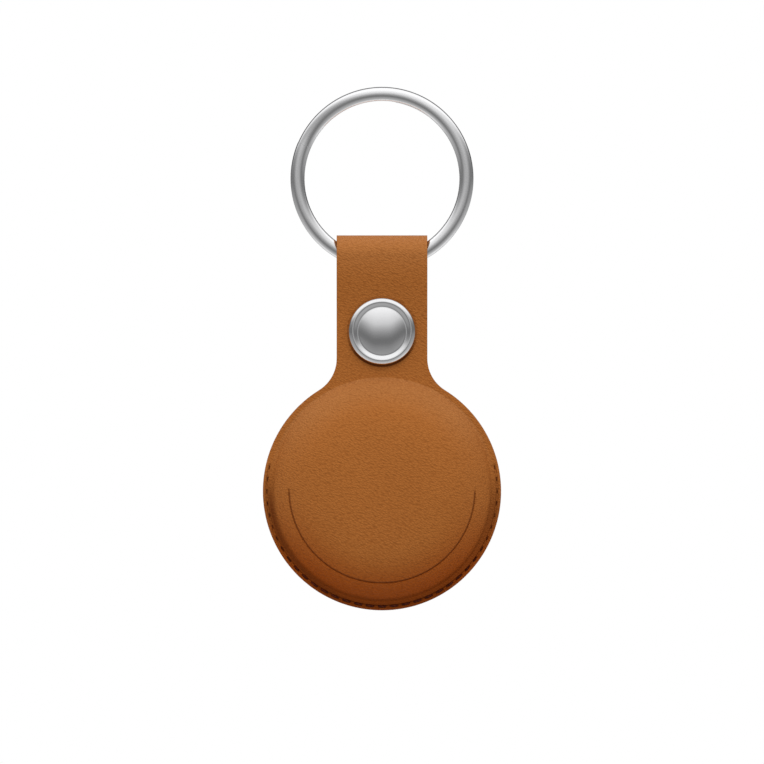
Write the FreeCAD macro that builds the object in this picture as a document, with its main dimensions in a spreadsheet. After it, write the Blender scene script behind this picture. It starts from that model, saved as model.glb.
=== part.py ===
import FreeCAD, Part
import math
import os
import re

import Sketcher

# Leather key-ring holder for a round tracker tag.
# The origin is the centre of the split ring's eye, where the holder hangs.
# X runs across the strap, Y from the front of the pocket to its back, Z up along the strap.
# All lengths are in millimetres and all angles in degrees.

SIZES = {
    # Split ring: two turns of crowned wire, with a jog from the front turn to the back one
    "ring_outer_diameter": 30.0,
    "ring_wire_width": 2.3,
    "ring_wire_thickness": 1.05,
    "ring_turn_gap": 0.45,
    "ring_start_angle": 157.0,
    "ring_jog_angle": 70.0,
    "ring_lap_angle": 7.0,
    "ring_clearance": 0.14,
    # Leather and lining
    "leather": 1.05,
    "lining": 0.3,
    "glue_gap": 0.05,
    # Strap, neck and loop
    "strap_width": 14.85,
    "strap_set_forward": 1.1,
    "strap_bend_radius": 2.5,
    "strap_flat_margin": 0.6,
    "strap_lean_height": 6.35,
    "neck_radius": 6.1,
    # Rear flap
    "flap_margin": 1.7,
    "flap_corner_radius": 4.5,
    "hinge_gap": 0.05,
    # Pocket
    "flange_width": 1.603,
    "crease_radius": 0.6,
    "window_lip": 1.45,
    "score_offset": 2.6,
    "score_width": 0.28,
    "score_depth": 0.35,
    # Sewn seam round the lower half
    "seam_margin": 0.65,
    "stitch_count": 35,
    "stitch_angle": 6.0,
    "stitch_length": 1.1,
    "stitch_leg": 0.3,
    "stitch_sink": 0.2,
    "thread_width": 0.38,
    "needle_clearance": 0.03,
    # Press snap
    "snap_margin": 1.25,
    "snap_fit": 0.05,
    "cap_diameter": 10.9,
    "cap_rim_inset": 0.85,
    "cap_dish_inset": 0.75,
    "cap_wall": 0.5,
    "cap_edge_height": 0.45,
    "cap_crest_height": 1.4,
    "cap_dish_height": 1.0,
    "cap_dome_height": 1.35,
    "cap_hollow_height": 0.5,
    "post_flange": 0.4,
    "post_diameter": 3.4,
    "post_wall": 0.45,
    "post_curl_width": 0.6,
    "post_curl_height": 0.3,
    "socket_base": 0.4,
    "socket_wall": 0.65,
    "socket_flange": 1.15,
    "socket_lip": 0.25,
    "socket_mouth_clearance": 0.53,
    "spring_wire": 0.84,
    "spring_slack": 0.18,
    "spring_gap": 0.03,
    "spring_opening_angle": 60.0,
    "stud_flange": 0.4,
    "stud_flange_reach": 0.8,
    "stud_gap": 0.1,
    "stud_neck": 3.7,
    "stud_bulb_height": 0.27,
    "stud_bulb_land": 0.1,
    "stud_undercut": 0.15,
    "stud_tip_inset": 0.62,
    "rear_post_diameter": 2.3,
    "rear_head_reach": 0.1,
    "rear_head_edge": 0.2,
    "rear_head_height": 0.4,
    # Tag casing
    "tag_thickness": 8.0,
    "tag_front_edge": 3.3,
    "tag_back_edge": 3.6,
    "tag_clearance": 0.2,
    "case_wall": 0.8,
    "case_fit": 0.1,
    "parting_height": 1.2,
    "spigot_depth": 0.8,
    "rim_width": 0.25,
    # Battery door and its bayonet
    "door_plate": 0.6,
    "door_fit": 0.1,
    "door_land": 0.4,
    "door_turn_angle": 38.0,
    "lug_angle": 30.0,
    "notch_slack_angle": 6.0,
    "lug_height": 0.5,
    "ledge_height": 0.45,
    "ledge_width": 0.95,
    "seal_height": 0.3,
    "seal_width": 0.8,
    "skirt_wall": 0.6,
    "skirt_clearance": 0.45,
    "pad_thickness": 0.5,
    "pad_width": 3.5,
    "pad_margin": 0.95,
    # Coin cell, its well and its contacts
    "cell_diameter": 20.0,
    "cell_thickness": 3.2,
    "cell_can_edge": 0.6,
    "well_clearance": 0.3,
    "well_wall": 0.9,
    "floor_thickness": 0.6,
    "shelf_thickness": 0.7,
    "contact_sheet": 0.15,
    "contact_gap": 0.03,
    "contact_width": 2.4,
    "contact_land": 1.4,
    # Board, antenna and speaker
    "board_thickness": 0.65,
    "board_overhang": 0.35,
    "seat_gap": 0.05,
    "chip_height": 0.4,
    "chip_margin": 0.5,
    "chip_length": 3.0,
    "shield_length": 6.4,
    "shield_width": 3.0,
    "antenna_height": 0.8,
    "antenna_wall": 0.25,
    "magnet_diameter": 7.2,
    "magnet_height": 1.2,
    "coil_gap": 0.4,
    "coil_wall": 0.7,
    "coil_height": 0.9,
    "coil_clearance": 0.9,
}

FOLLOWING = {
    # Where the ring runs through the strap's loop
    "ring_radius": "ring_outer_diameter / 2",
    "turn_offset": "(ring_wire_thickness + ring_turn_gap) / 2",
    "eye_at_strap": "sqrt((ring_radius - ring_wire_width) ^ 2 - (strap_width / 2) ^ 2)",
    "swing_drop": "(ring_radius + eye_at_strap) / 2",
    "wire_reach": "(ring_radius - eye_at_strap) / 2",
    "loop_radius": "sqrt(wire_reach ^ 2 + turn_offset ^ 2) + ring_clearance",
    # Radii outwards from the coin cell: skirt, ledge, bore, casing, pocket
    "well_radius": "cell_diameter / 2 + well_clearance",
    "skirt_inside": "cell_diameter / 2 + skirt_clearance",
    "skirt_radius": "skirt_inside + skirt_wall",
    "ledge_radius": "skirt_radius + door_fit",
    "bore_radius": "ledge_radius + ledge_width",
    "door_radius": "bore_radius - door_fit",
    "back_centre": "bore_radius + rim_width",
    "tag_radius": "back_centre + tag_back_edge",
    "front_centre": "tag_radius - tag_front_edge",
    "dome_angle": "2 * atan((tag_thickness / 2 - tag_front_edge) / front_centre)",
    "parting_radius": "back_centre + sqrt(tag_back_edge ^ 2 - parting_height ^ 2)",
    "spigot_radius": "parting_radius - case_wall - case_fit",
    "lining_out": "tag_clearance + lining",
    "leather_in": "lining_out + glue_gap",
    "leather_out": "leather_in + leather",
    "front_edge": "tag_front_edge + leather_out",
    "back_edge": "tag_back_edge + leather_out",
    "crease_rise": "leather + crease_radius",
    "front_foot": "front_centre + sqrt((front_edge + crease_radius) ^ 2 - crease_rise ^ 2)",
    "back_foot": "back_centre + sqrt((back_edge + crease_radius) ^ 2 - crease_rise ^ 2)",
    "panel_radius": "front_foot + flange_width",
    "window_radius": "back_centre - window_lip",
    "score_radius": "front_centre + score_offset",
    "seam_radius": "panel_radius - seam_margin",
    "seam_arc": "(stitch_count - 1) * stitch_angle",
    # Heights up the strap from the pocket's centre
    "snap_height": "panel_radius + cap_diameter / 2 + snap_margin",
    "strap_side": "strap_width / 2",
    "strap_flat_top": "snap_height + cap_diameter / 2 + strap_flat_margin",
    "swing_height": "strap_flat_top + strap_lean_height",
    "hinge_height": "swing_height - leather / 2 - hinge_gap",
    "pocket_drop": "swing_height + swing_drop",
    # Snap
    "snap_gap": "strap_set_forward + loop_radius",
    "socket_top": "snap_gap - stud_flange - stud_gap",
    "spring_height": "socket_top - socket_lip - spring_wire / 2 - spring_gap",
    "spring_radius": "stud_neck / 2 + snap_fit + spring_gap + spring_wire / 2",
    "bulb_radius": "stud_neck / 2 + stud_bulb_height",
    "socket_bore": "spring_radius + spring_wire / 2 + spring_slack",
    "socket_mouth": "bulb_radius + socket_mouth_clearance",
    "socket_body": "socket_bore + socket_wall",
    "stud_reach": "socket_body + stud_flange_reach",
    "rear_head": "stud_reach + rear_head_reach",
    "curl_top": "socket_base + post_curl_height",
    "stud_end": "curl_top + snap_fit",
    "bulb_top": "spring_height - spring_wire / 2 + snap_fit / 2",
    "stud_bore_end": "stud_end + stud_undercut",
    # Depths through the tag
    "door_under": "tag_back_edge - door_plate",
    "ledge_top": "door_under - seal_height - seat_gap",
    "ledge_under": "ledge_top - ledge_height",
    "lug_top": "ledge_under - door_fit",
    "lug_under": "lug_top - lug_height",
    "shelf_top": "lug_under - door_fit",
    "spigot_end": "parting_height - spigot_depth",
    "cell_top": "door_under - pad_thickness - seat_gap",
    "cell_under": "cell_top - cell_thickness",
    "floor_top": "cell_under - contact_sheet - 2 * contact_gap",
    "floor_under": "floor_top - floor_thickness",
    "board_back": "floor_under - seat_gap",
    "board_front": "board_back - board_thickness",
    # Radii on the board
    "coil_inside": "magnet_diameter / 2 + coil_gap",
    "coil_outside": "coil_inside + coil_wall",
    "board_hole": "coil_outside + coil_clearance",
    "board_radius": "front_centre + board_overhang",
    "chip_ring": "board_hole + chip_margin + shield_width / 2",
    "contact_reach": "board_hole + contact_land",
}

doc = FreeCAD.newDocument("tracker_tag_holder")
sheet = doc.addObject("Spreadsheet::Sheet", "Sizes")
rows = {**SIZES, **{alias: f"={text}" for alias, text in FOLLOWING.items()}}
for row, alias in enumerate(rows, start=1):
    sheet.set(f"A{row}", alias)
    sheet.setAlias(f"B{row}", alias)
for row, value in enumerate(rows.values(), start=1):
    sheet.set(f"B{row}", str(value))
doc.recompute()


def bound(text):
    """Write an expression over sizes so that it reads them from the sheet."""
    return re.sub(r"[a-z]\w*", lambda word: f"Sizes.{word[0]}" if word[0] in rows else word[0], text)


def number(text):
    """Value of an expression over sizes."""
    value = sheet.evalExpression(bound(text))
    return float(getattr(value, "Value", value))


LEFT = 1
RIGHT = -1


def arc_between(start, end, radius, side):
    """Arc from start to end, under a half circle, with its centre left or right of the way along."""
    chord = end - start
    middle = (start + end) * 0.5
    across = FreeCAD.Vector(-chord.y, chord.x, 0) * (side / chord.Length)
    centre = middle + across * math.sqrt(max(radius ** 2 - chord.Length ** 2 / 4, 0))
    first, last = (start, end) if side == LEFT else (end, start)
    begin = math.atan2(first.y - centre.y, first.x - centre.x)
    finish = math.atan2(last.y - centre.y, last.x - centre.x)
    circle = Part.Circle(centre, FreeCAD.Vector(0, 0, 1), radius)
    return Part.ArcOfCircle(circle, begin, finish)


def fix_point(edge, point, x, y):
    """Constraints that hold one point of a sketch's edge at two expressions, with their bindings."""
    constraints = []
    bindings = []
    for kind, axis, text in (("DistanceX", -2, x), ("DistanceY", -1, y)):
        if text == "0":
            constraints.append(Sketcher.Constraint("PointOnObject", edge, point, axis))
            bindings.append(None)
        else:
            constraints.append(Sketcher.Constraint(kind, -1, 1, edge, point, number(text)))
            bindings.append(text)
    return constraints, bindings


def bind(sketch, constraints, bindings):
    """Add constraints to a sketch and tie each dimension to its expression."""
    first = sketch.ConstraintCount
    sketch.addConstraint(constraints)
    for index, text in enumerate(bindings, start=first):
        if text is not None:
            sketch.setExpression(f"Constraints[{index}]", bound(text))


def draw(sketch, corners):
    """Draw a closed outline. A corner is (x, y), or (x, y, radius, side) where an arc leads on from it."""
    places = [FreeCAD.Vector(number(corner[0]), number(corner[1]), 0) for corner in corners]
    edges = []
    for index, corner in enumerate(corners):
        start = places[index]
        end = places[(index + 1) % len(places)]
        if len(corner) == 2:
            edges.append((sketch.addGeometry(Part.LineSegment(start, end)), 1, 2))
            continue
        arc = sketch.addGeometry(arc_between(start, end, number(corner[2]), corner[3]))
        edges.append((arc, 1, 2) if corner[3] == LEFT else (arc, 2, 1))
    constraints = []
    bindings = []
    for index, corner in enumerate(corners):
        edge, tail, _ = edges[index]
        before, _, head = edges[index - 1]
        constraints.append(Sketcher.Constraint("Coincident", before, head, edge, tail))
        bindings.append(None)
        held, texts = fix_point(edge, tail, corner[0], corner[1])
        constraints += held
        bindings += texts
        if len(corner) == 4:
            constraints.append(Sketcher.Constraint("Radius", edge, number(corner[2])))
            bindings.append(corner[2])
    bind(sketch, constraints, bindings)


def draw_circle(sketch, x, y, radius):
    """Draw a circle whose centre and radius follow the sizes."""
    centre = FreeCAD.Vector(number(x), number(y), 0)
    circle = sketch.addGeometry(Part.Circle(centre, FreeCAD.Vector(0, 0, 1), number(radius)))
    constraints, bindings = fix_point(circle, 3, x, y)
    constraints.append(Sketcher.Constraint("Radius", circle, number(radius)))
    bindings.append(radius)
    bind(sketch, constraints, bindings)


def backwards(corners):
    """The same stretch of outline walked the other way."""
    walked = []
    for index in range(len(corners) - 1, -1, -1):
        arc = corners[index - 1][2:] if index > 0 else ()
        turned = (arc[0], -arc[1]) if arc else ()
        walked.append(corners[index][:2] + turned)
    return walked


def rectangle(x_low, x_high, y_low, y_high):
    """Corners of a rectangle, anticlockwise."""
    return [(x_low, y_low), (x_high, y_low), (x_high, y_high), (x_low, y_high)]


def new_body(label, y="0", z="-pocket_drop"):
    """A body whose own origin stands on the strap's back face, on the holder's middle line."""
    body = doc.addObject("PartDesign::Body", label)
    body.Label = label
    body.AllowCompound = True
    body.setExpression("Placement.Base.y", bound(f"{y} - strap_set_forward"))
    body.setExpression("Placement.Base.z", bound(z))
    return body


def spin_body(body, way, angle):
    """Turn a body about its Y axis, forwards or backwards, by an angle from the sizes."""
    spin = FreeCAD.Rotation(FreeCAD.Vector(0, way, 0), number(angle))
    body.Placement = FreeCAD.Placement(body.Placement.Base, spin)
    body.setExpression("Placement.Rotation.Angle", bound(angle))


def origin_feature(body, role):
    """One of a body's own origin planes or axes."""
    return next(feature for feature in body.Origin.OriginFeatures if feature.Role == role)


def sketch_on(body, plane, name):
    """A sketch on one of a body's own origin planes."""
    sketch = body.newObject("Sketcher::SketchObject", name)
    sketch.AttachmentSupport = [(origin_feature(body, plane), "")]
    sketch.MapMode = "FlatFace"
    sketch.Visibility = False
    return sketch


def spin_sketch(sketch, axis, angle):
    """Turn a sketch about its own origin by an angle from the sizes."""
    spin = FreeCAD.Rotation(FreeCAD.Vector(*axis), number(angle))
    sketch.AttachmentOffset = FreeCAD.Placement(FreeCAD.Vector(), spin)
    sketch.setExpression("AttachmentOffset.Rotation.Angle", bound(angle))


def revolve(body, name, sketch, angle, cut=False):
    """Revolve a sketch about its own upright axis, as a solid or as a cut."""
    feature = body.newObject("PartDesign::Groove" if cut else "PartDesign::Revolution", name)
    feature.Profile = sketch
    feature.ReferenceAxis = (sketch, ["V_Axis"])
    feature.setExpression("Angle", bound(angle))
    return feature


def turn(body, name, corners, angle="360", cut=False, lead=None):
    """Revolve a profile of (radius, y) about the body's Y axis, from a start that may lead the X axis."""
    sketch = sketch_on(body, "XY_Plane", f"{name}_profile")
    if lead is not None:
        spin_sketch(sketch, (0, -1, 0), lead)
    draw(sketch, corners)
    return revolve(body, name, sketch, angle, cut)


def pad(body, name, sketch, length, symmetric=False):
    """Pad a sketch along its normal, or evenly to both sides."""
    feature = body.newObject("PartDesign::Pad", name)
    feature.Profile = sketch
    feature.SideType = "Symmetric" if symmetric else "One side"
    feature.setExpression("Length", bound(length))
    return feature


def cut_through(body, name, sketch):
    """Cut a sketch through the whole body, to both sides of its plane."""
    feature = body.newObject("PartDesign::Pocket", name)
    feature.Profile = sketch
    feature.Type = "ThroughAll"
    feature.SideType = "Symmetric"
    return feature


def pattern(body, name, feature, angle, count):
    """Repeat a feature about the body's Y axis."""
    repeat = body.newObject("PartDesign::PolarPattern", name)
    repeat.Originals = [feature]
    repeat.Axis = (origin_feature(body, "Y_Axis"), [""])
    repeat.setExpression("Angle", bound(angle))
    repeat.setExpression("Occurrences", bound(count))
    body.Tip = repeat
    return repeat


# Curves shared by the tag's casing and the pocket moulded over it


def front_curve(offset):
    """Front of the tag stood off by an offset: its dome and edge, from the axis to the widest point."""
    edge = f"(tag_front_edge + {offset})"
    return [
        ("0", f"-(tag_thickness / 2 + {offset})", f"front_centre / sin(dome_angle) + {edge}", LEFT),
        (f"front_centre + {edge} * sin(dome_angle)", f"-{edge} * cos(dome_angle)", edge, LEFT),
        (f"front_centre + {edge}", "0"),
    ]


def back_curve(offset, inner_radius):
    """Back of the tag stood off by an offset: its edge and a flat lip in to a window."""
    edge = f"(tag_back_edge + {offset})"
    return [
        (f"back_centre + {edge}", "0", edge, LEFT),
        ("back_centre", edge),
        (inner_radius, edge),
    ]


def crease_on_wall(centre, edge, foot):
    """Point where the fillet between wall and flange meets the moulded wall."""
    share = f"({edge} / ({edge} + crease_radius))"
    return f"{centre} + ({foot} - {centre}) * {share}", f"crease_rise * {share}"


def channel(body, outer, inner):
    """Cut the shallow channel that the stitches lie in, between two heights of a flange."""
    reach = "thread_width / 2 + needle_clearance"
    corners = rectangle(f"seam_radius - ({reach})", f"seam_radius + {reach}", outer, inner)
    half_arc = "(seam_arc / 2 + stitch_angle / 4)"
    turn(body, "stitch_channel", corners, f"2 * {half_arc}", cut=True, lead=f"{half_arc} - 90")


def needle_slots(body):
    """Cut the slots that the thread passes through, two for each stitch."""
    sketch = sketch_on(body, "XZ_Plane", "needle_slots_outline")
    spin_sketch(sketch, (0, 0, 1), "seam_arc / 2")
    far = "stitch_length / 2 + needle_clearance"
    near = "stitch_length / 2 - stitch_leg - needle_clearance"
    low = "-(seam_radius + thread_width / 2 + needle_clearance)"
    high = "-(seam_radius - thread_width / 2 - needle_clearance)"
    draw(sketch, rectangle(near, far, low, high))
    draw(sketch, rectangle(f"-({far})", f"-({near})", low, high))
    pattern(body, "needle_slots", cut_through(body, "needle_slot", sketch), "seam_arc", "stitch_count")


# Split ring


def split_ring():
    """Two turns of crowned wire as one tube: front turn, jog to the back, back turn."""
    radius = number("ring_radius - ring_wire_width / 2")
    depth = number("turn_offset")
    start = number("ring_start_angle")
    jog_start = start + 360 - number("ring_jog_angle")
    jog_end = start + 360
    finish = jog_start + 360 - number("ring_lap_angle")

    def place(angle, y):
        bearing = math.radians(angle)
        return FreeCAD.Vector(radius * math.cos(bearing), y, radius * math.sin(bearing))

    def heading(angle):
        return FreeCAD.Vector(-math.sin(math.radians(angle)), 0, math.cos(math.radians(angle)))

    def half_turns(begin, end, y):
        middle = (begin + end) / 2
        return [
            Part.Arc(place(a, y), place((a + b) / 2, y), place(b, y)).toShape()
            for a, b in ((begin, middle), (middle, end))
        ]

    def bend(near, way, far):
        chord = far - near
        bow = chord - way * chord.dot(way)
        bow.normalize()
        bend_radius = chord.dot(chord) / (2 * chord.dot(bow))
        centre = near + bow * bend_radius
        outward = (near + far) * 0.5 - centre
        outward.normalize()
        return centre + outward * bend_radius

    def jog():
        begin, begin_way = place(jog_start, -depth), heading(jog_start)
        end, end_way = place(jog_end, depth), heading(jog_end)
        span = end - begin
        spread = 2 * (1 - begin_way.dot(end_way))
        along = span.dot(begin_way + end_way)
        handle = (-along + math.sqrt(along ** 2 + spread * span.dot(span))) / spread
        joint = (begin + begin_way * handle + end - end_way * handle) * 0.5
        return [
            Part.Arc(begin, bend(begin, begin_way, joint), joint).toShape(),
            Part.Arc(joint, bend(end, end_way * -1, joint), end).toShape(),
        ]

    spine = Part.Wire(half_turns(start, jog_start, -depth) + jog() + half_turns(jog_end, finish, depth))
    half_width = number("ring_wire_width / 2")
    half_depth = number("ring_wire_thickness / 2")
    centre = place(start, -depth)
    outward = place(start, 0).normalize() * half_width
    backward = FreeCAD.Vector(0, half_depth, 0)
    oval = Part.Ellipse(centre + outward, centre + backward, centre)
    ring = doc.addObject("Part::Feature", "split_ring")
    ring.Label = "split_ring"
    ring.Shape = spine.makePipeShell([Part.Wire([oval.toShape()])], True, False)

    front_points = [place(angle, -depth) for angle in range(int(start), int(jog_start), 3)]
    points = spine.discretize(Number=1440)
    back_points = points[len(points) // 2:]
    least = min(point.distanceToPoint(other) for point in front_points for other in back_points)
    print("split ring: least gap between its turns", round(least - 2 * half_depth, 3), "mm")


split_ring()

# Front panel: moulded disc, neck and strap, with the strap's loop over the ring


def front_panel():
    """One piece of leather: pocket front, neck, strap and the loop that folds back over the ring."""
    body = new_body("front_panel")
    wall = crease_on_wall("front_centre", "front_edge", "front_foot")
    turn(body, "moulded_disc", front_curve("leather_out")[:2] + [
        (wall[0], f"-({wall[1]})", "crease_radius", RIGHT),
        ("front_foot", "-leather"),
        ("panel_radius", "-leather"),
        ("panel_radius", "0"),
        ("0", "0"),
    ])

    outline = sketch_on(body, "XZ_Plane", "neck_outline")
    neck_height = "sqrt((panel_radius + neck_radius) ^ 2 - (strap_side + neck_radius) ^ 2)"
    share = "(panel_radius / (panel_radius + neck_radius))"
    hip = f"(strap_side + neck_radius) * {share}"
    hip_height = f"{neck_height} * {share}"
    draw(outline, [
        ("-strap_side", "strap_flat_top"),
        ("-strap_side", neck_height, "neck_radius", RIGHT),
        (f"-({hip})", hip_height),
        (hip, hip_height, "neck_radius", RIGHT),
        ("strap_side", neck_height),
        ("strap_side", "strap_flat_top"),
    ])
    pad(body, "neck", outline, "leather")

    side = sketch_on(body, "YZ_Plane", "loop_outline")
    bend = "(strap_bend_radius + leather)"
    across = f"({bend} + strap_set_forward)"
    slant = f"sqrt({across} ^ 2 + strap_lean_height ^ 2)"
    lean = f"(asin((loop_radius + {bend}) / {slant}) - atan({across} / strap_lean_height))"
    outer = "(loop_radius + leather)"
    draw(side, [
        ("0", "strap_flat_top", bend, LEFT),
        (f"-{bend} + {bend} * cos({lean})", f"strap_flat_top + {bend} * sin({lean})"),
        (f"strap_set_forward - loop_radius * cos({lean})", f"swing_height - loop_radius * sin({lean})",
         "loop_radius", RIGHT),
        ("strap_set_forward", "swing_height + loop_radius", "loop_radius", RIGHT),
        ("snap_gap", "swing_height"),
        ("snap_gap + leather", "swing_height", outer, LEFT),
        ("strap_set_forward", f"swing_height + {outer}", outer, LEFT),
        (f"strap_set_forward - {outer} * cos({lean})", f"swing_height - {outer} * sin({lean})"),
        (f"-{bend} + strap_bend_radius * cos({lean})", f"strap_flat_top + strap_bend_radius * sin({lean})",
         "strap_bend_radius", RIGHT),
        ("-leather", "strap_flat_top"),
    ])
    pad(body, "loop", side, "strap_width", symmetric=True)
    turn(body, "pocket_hollow", front_curve("leather_in") + [("0", "0")], cut=True)

    slope = "(score_offset / front_edge)"
    level = f"sqrt(1 - {slope} ^ 2)"

    def on_score(rise, across):
        reach = f"(front_edge + {rise})"
        return (
            f"front_centre + {reach} * {slope} + {across} * {level}",
            f"-{reach} * {level} + {across} * {slope}",
        )

    turn(body, "score_line", [
        on_score("score_width", "-score_width"),
        on_score("score_width", "score_width"),
        on_score("-score_depth", "score_width / 4"),
        on_score("-score_depth", "-score_width / 4"),
    ], "180", cut=True)

    hole = sketch_on(body, "XZ_Plane", "snap_hole_outline")
    draw_circle(hole, "0", "snap_height", "post_diameter / 2 + snap_fit")
    cut_through(body, "snap_hole", hole)
    channel(body, "-2 * leather", "-(leather - stitch_sink)")
    needle_slots(body)


front_panel()

# Back panel: flange, moulded wall and a flat lip round the window


def back_panel():
    """Leather back of the pocket, with a round window over the tag's battery door."""
    body = new_body("back_panel")
    wall = crease_on_wall("back_centre", "back_edge", "back_foot")
    turn(body, "moulded_wall", [
        ("panel_radius", "0"),
        ("panel_radius", "leather"),
        ("back_foot", "leather", "crease_radius", RIGHT),
        (wall[0], wall[1], "back_edge", LEFT),
        ("back_centre", "back_edge"),
        ("window_radius", "back_edge"),
    ] + backwards(back_curve("leather_in", "window_radius")))
    channel(body, "leather - stitch_sink", "2 * leather")
    needle_slots(body)


back_panel()

# Pocket linings


def lining(label, curve):
    """A lining glued inside one half of the pocket, clear of the tag."""
    body = new_body(label)
    turn(body, "sheet", curve("lining_out") + backwards(curve("tag_clearance")))


lining("front_lining", front_curve)
lining("back_lining", lambda offset: back_curve(offset, "window_radius + lining"))

# Rear flap of the strap


def rear_flap():
    """The strap's tail behind the ring: it hinges where the loop ends and carries the snap's stud."""
    body = new_body("rear_flap", y="snap_gap + leather")
    end = "(snap_height - rear_head - flap_margin)"
    corner = "flap_corner_radius"
    outline = sketch_on(body, "XZ_Plane", "flap_outline")
    draw(outline, [
        (f"-(strap_side - {corner})", end),
        (f"strap_side - {corner}", end, corner, LEFT),
        ("strap_side", f"{end} + {corner}"),
        ("strap_side", "hinge_height"),
        ("-strap_side", "hinge_height"),
        ("-strap_side", f"{end} + {corner}", corner, LEFT),
    ])
    pad(body, "tongue", outline, "leather")
    roll = sketch_on(body, "YZ_Plane", "hinge_roll_outline")
    draw_circle(roll, "-leather / 2", "hinge_height", "leather / 2")
    pad(body, "hinge_roll", roll, "strap_width", symmetric=True)
    hole = sketch_on(body, "XZ_Plane", "stud_hole_outline")
    draw_circle(hole, "0", "snap_height", "rear_post_diameter / 2 + snap_fit")
    cut_through(body, "stud_hole", hole)


rear_flap()

# Seam thread


def seam_thread():
    """Closed stitches through both flanges, laid in the stitch channels."""
    body = new_body("seam_thread")
    spin_body(body, -1, "seam_arc / 2")
    sketch = sketch_on(body, "XY_Plane", "stitch_outline")
    sketch.setExpression("AttachmentOffset.Base.z", bound("-seam_radius"))
    bed = "(leather - stitch_sink)"
    crown = f"({bed} + thread_width)"
    far = "(stitch_length / 2)"
    near = "(stitch_length / 2 - stitch_leg)"
    draw(sketch, rectangle(f"-{far}", far, f"-{crown}", crown))
    draw(sketch, rectangle(f"-{near}", near, f"-{bed}", bed))
    stitch = pad(body, "stitch", sketch, "thread_width", symmetric=True)
    pattern(body, "seam", stitch, "seam_arc", "stitch_count")


seam_thread()

# Press snap: cap and socket on the strap, stud on the flap


def above_strap(height):
    """Height in front of the strap's outer face."""
    return f"-(leather + {height})"


def snap_front():
    """Pressed cap on the strap's front, its post, and the socket behind with its ring spring."""
    place = "snap_height - pocket_drop"
    cap = new_body("snap_cap", z=place)
    rim = "(cap_diameter / 2)"
    crest = f"({rim} - cap_rim_inset)"
    dish = f"({crest} - cap_dish_inset)"
    hollow = f"({rim} - cap_wall)"
    rise = "(cap_dome_height - cap_dish_height)"
    turn(cap, "shell", [
        ("0", above_strap("cap_dome_height"), f"({dish} ^ 2 + {rise} ^ 2) / (2 * {rise})", LEFT),
        (dish, above_strap("cap_dish_height")),
        (crest, above_strap("cap_crest_height"), "cap_rim_inset + cap_edge_height / 2", LEFT),
        (rim, above_strap("cap_edge_height")),
        (rim, "-leather"),
        (hollow, "-leather"),
        (hollow, above_strap("cap_hollow_height")),
        ("0", above_strap("cap_hollow_height")),
    ])

    post = new_body("snap_cap_post", z=place)
    bore = "post_diameter / 2 - post_wall"
    turn(post, "eyelet", [
        (bore, above_strap("post_flange")),
        (f"{hollow} - snap_fit", above_strap("post_flange")),
        (f"{hollow} - snap_fit", "-leather"),
        ("post_diameter / 2", "-leather"),
        ("post_diameter / 2", "socket_base"),
        ("post_diameter / 2 + post_curl_width", "socket_base"),
        ("post_diameter / 2 + post_curl_width", "curl_top"),
        (bore, "curl_top"),
    ])

    socket = new_body("snap_socket", z=place)
    turn(socket, "cup", [
        ("post_diameter / 2 + snap_fit", "0"),
        ("socket_body + socket_flange", "0"),
        ("socket_body + socket_flange", "socket_base"),
        ("socket_body", "2 * socket_base"),
        ("socket_body", "socket_top - socket_lip"),
        ("socket_body - socket_lip", "socket_top"),
        ("socket_mouth", "socket_top"),
        ("socket_mouth", "socket_top - socket_lip"),
        ("socket_bore", "socket_top - socket_lip"),
        ("socket_bore", "socket_base"),
        ("post_diameter / 2 + snap_fit", "socket_base"),
    ])

    spring = new_body("snap_spring", z=place)
    wire = sketch_on(spring, "XY_Plane", "wire_outline")
    draw_circle(wire, "spring_radius", "spring_height", "spring_wire / 2")
    revolve(spring, "clip", wire, "360 - spring_opening_angle")


def snap_rear():
    """Stud on the flap's inner face and the domed rivet that holds it from behind."""
    place = "snap_height - pocket_drop"
    stud = new_body("snap_stud", z=place)
    bore = "rear_post_diameter / 2 + snap_fit"
    under = "snap_gap - stud_flange"
    turn(stud, "button", [
        ("0", "stud_end"),
        ("bulb_radius - stud_tip_inset", "stud_end"),
        ("bulb_radius", "bulb_top - stud_bulb_land"),
        ("bulb_radius", "bulb_top"),
        ("stud_neck / 2", "bulb_top + stud_undercut"),
        ("stud_neck / 2", under),
        ("stud_reach", under),
        ("stud_reach", "snap_gap"),
        (bore, "snap_gap"),
        (bore, "stud_bore_end"),
        ("0", "stud_bore_end"),
    ])

    rivet = new_body("snap_rear_post", z=place)
    seat = "snap_gap + leather"
    crown = "(rear_head_height - rear_head_edge)"
    turn(rivet, "rivet", [
        ("0", "stud_bore_end + snap_fit"),
        ("rear_post_diameter / 2", "stud_bore_end + snap_fit"),
        ("rear_post_diameter / 2", seat),
        ("rear_head", seat),
        ("rear_head", f"{seat} + rear_head_edge", f"(rear_head ^ 2 + {crown} ^ 2) / (2 * {crown})", LEFT),
        ("0", f"{seat} + rear_head_height"),
    ])


snap_front()
snap_rear()

# Tag casing: domed cover in front, base with the cell's well behind


def tag_cover():
    """Domed white shell of the tag."""
    body = new_body("tag_cover")
    turn(body, "shell", front_curve("0")[:2] + [
        ("tag_radius", "0", "tag_back_edge", LEFT),
        ("parting_radius", "parting_height"),
        ("parting_radius - case_wall", "parting_height"),
    ] + backwards(front_curve("-case_wall")))


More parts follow.
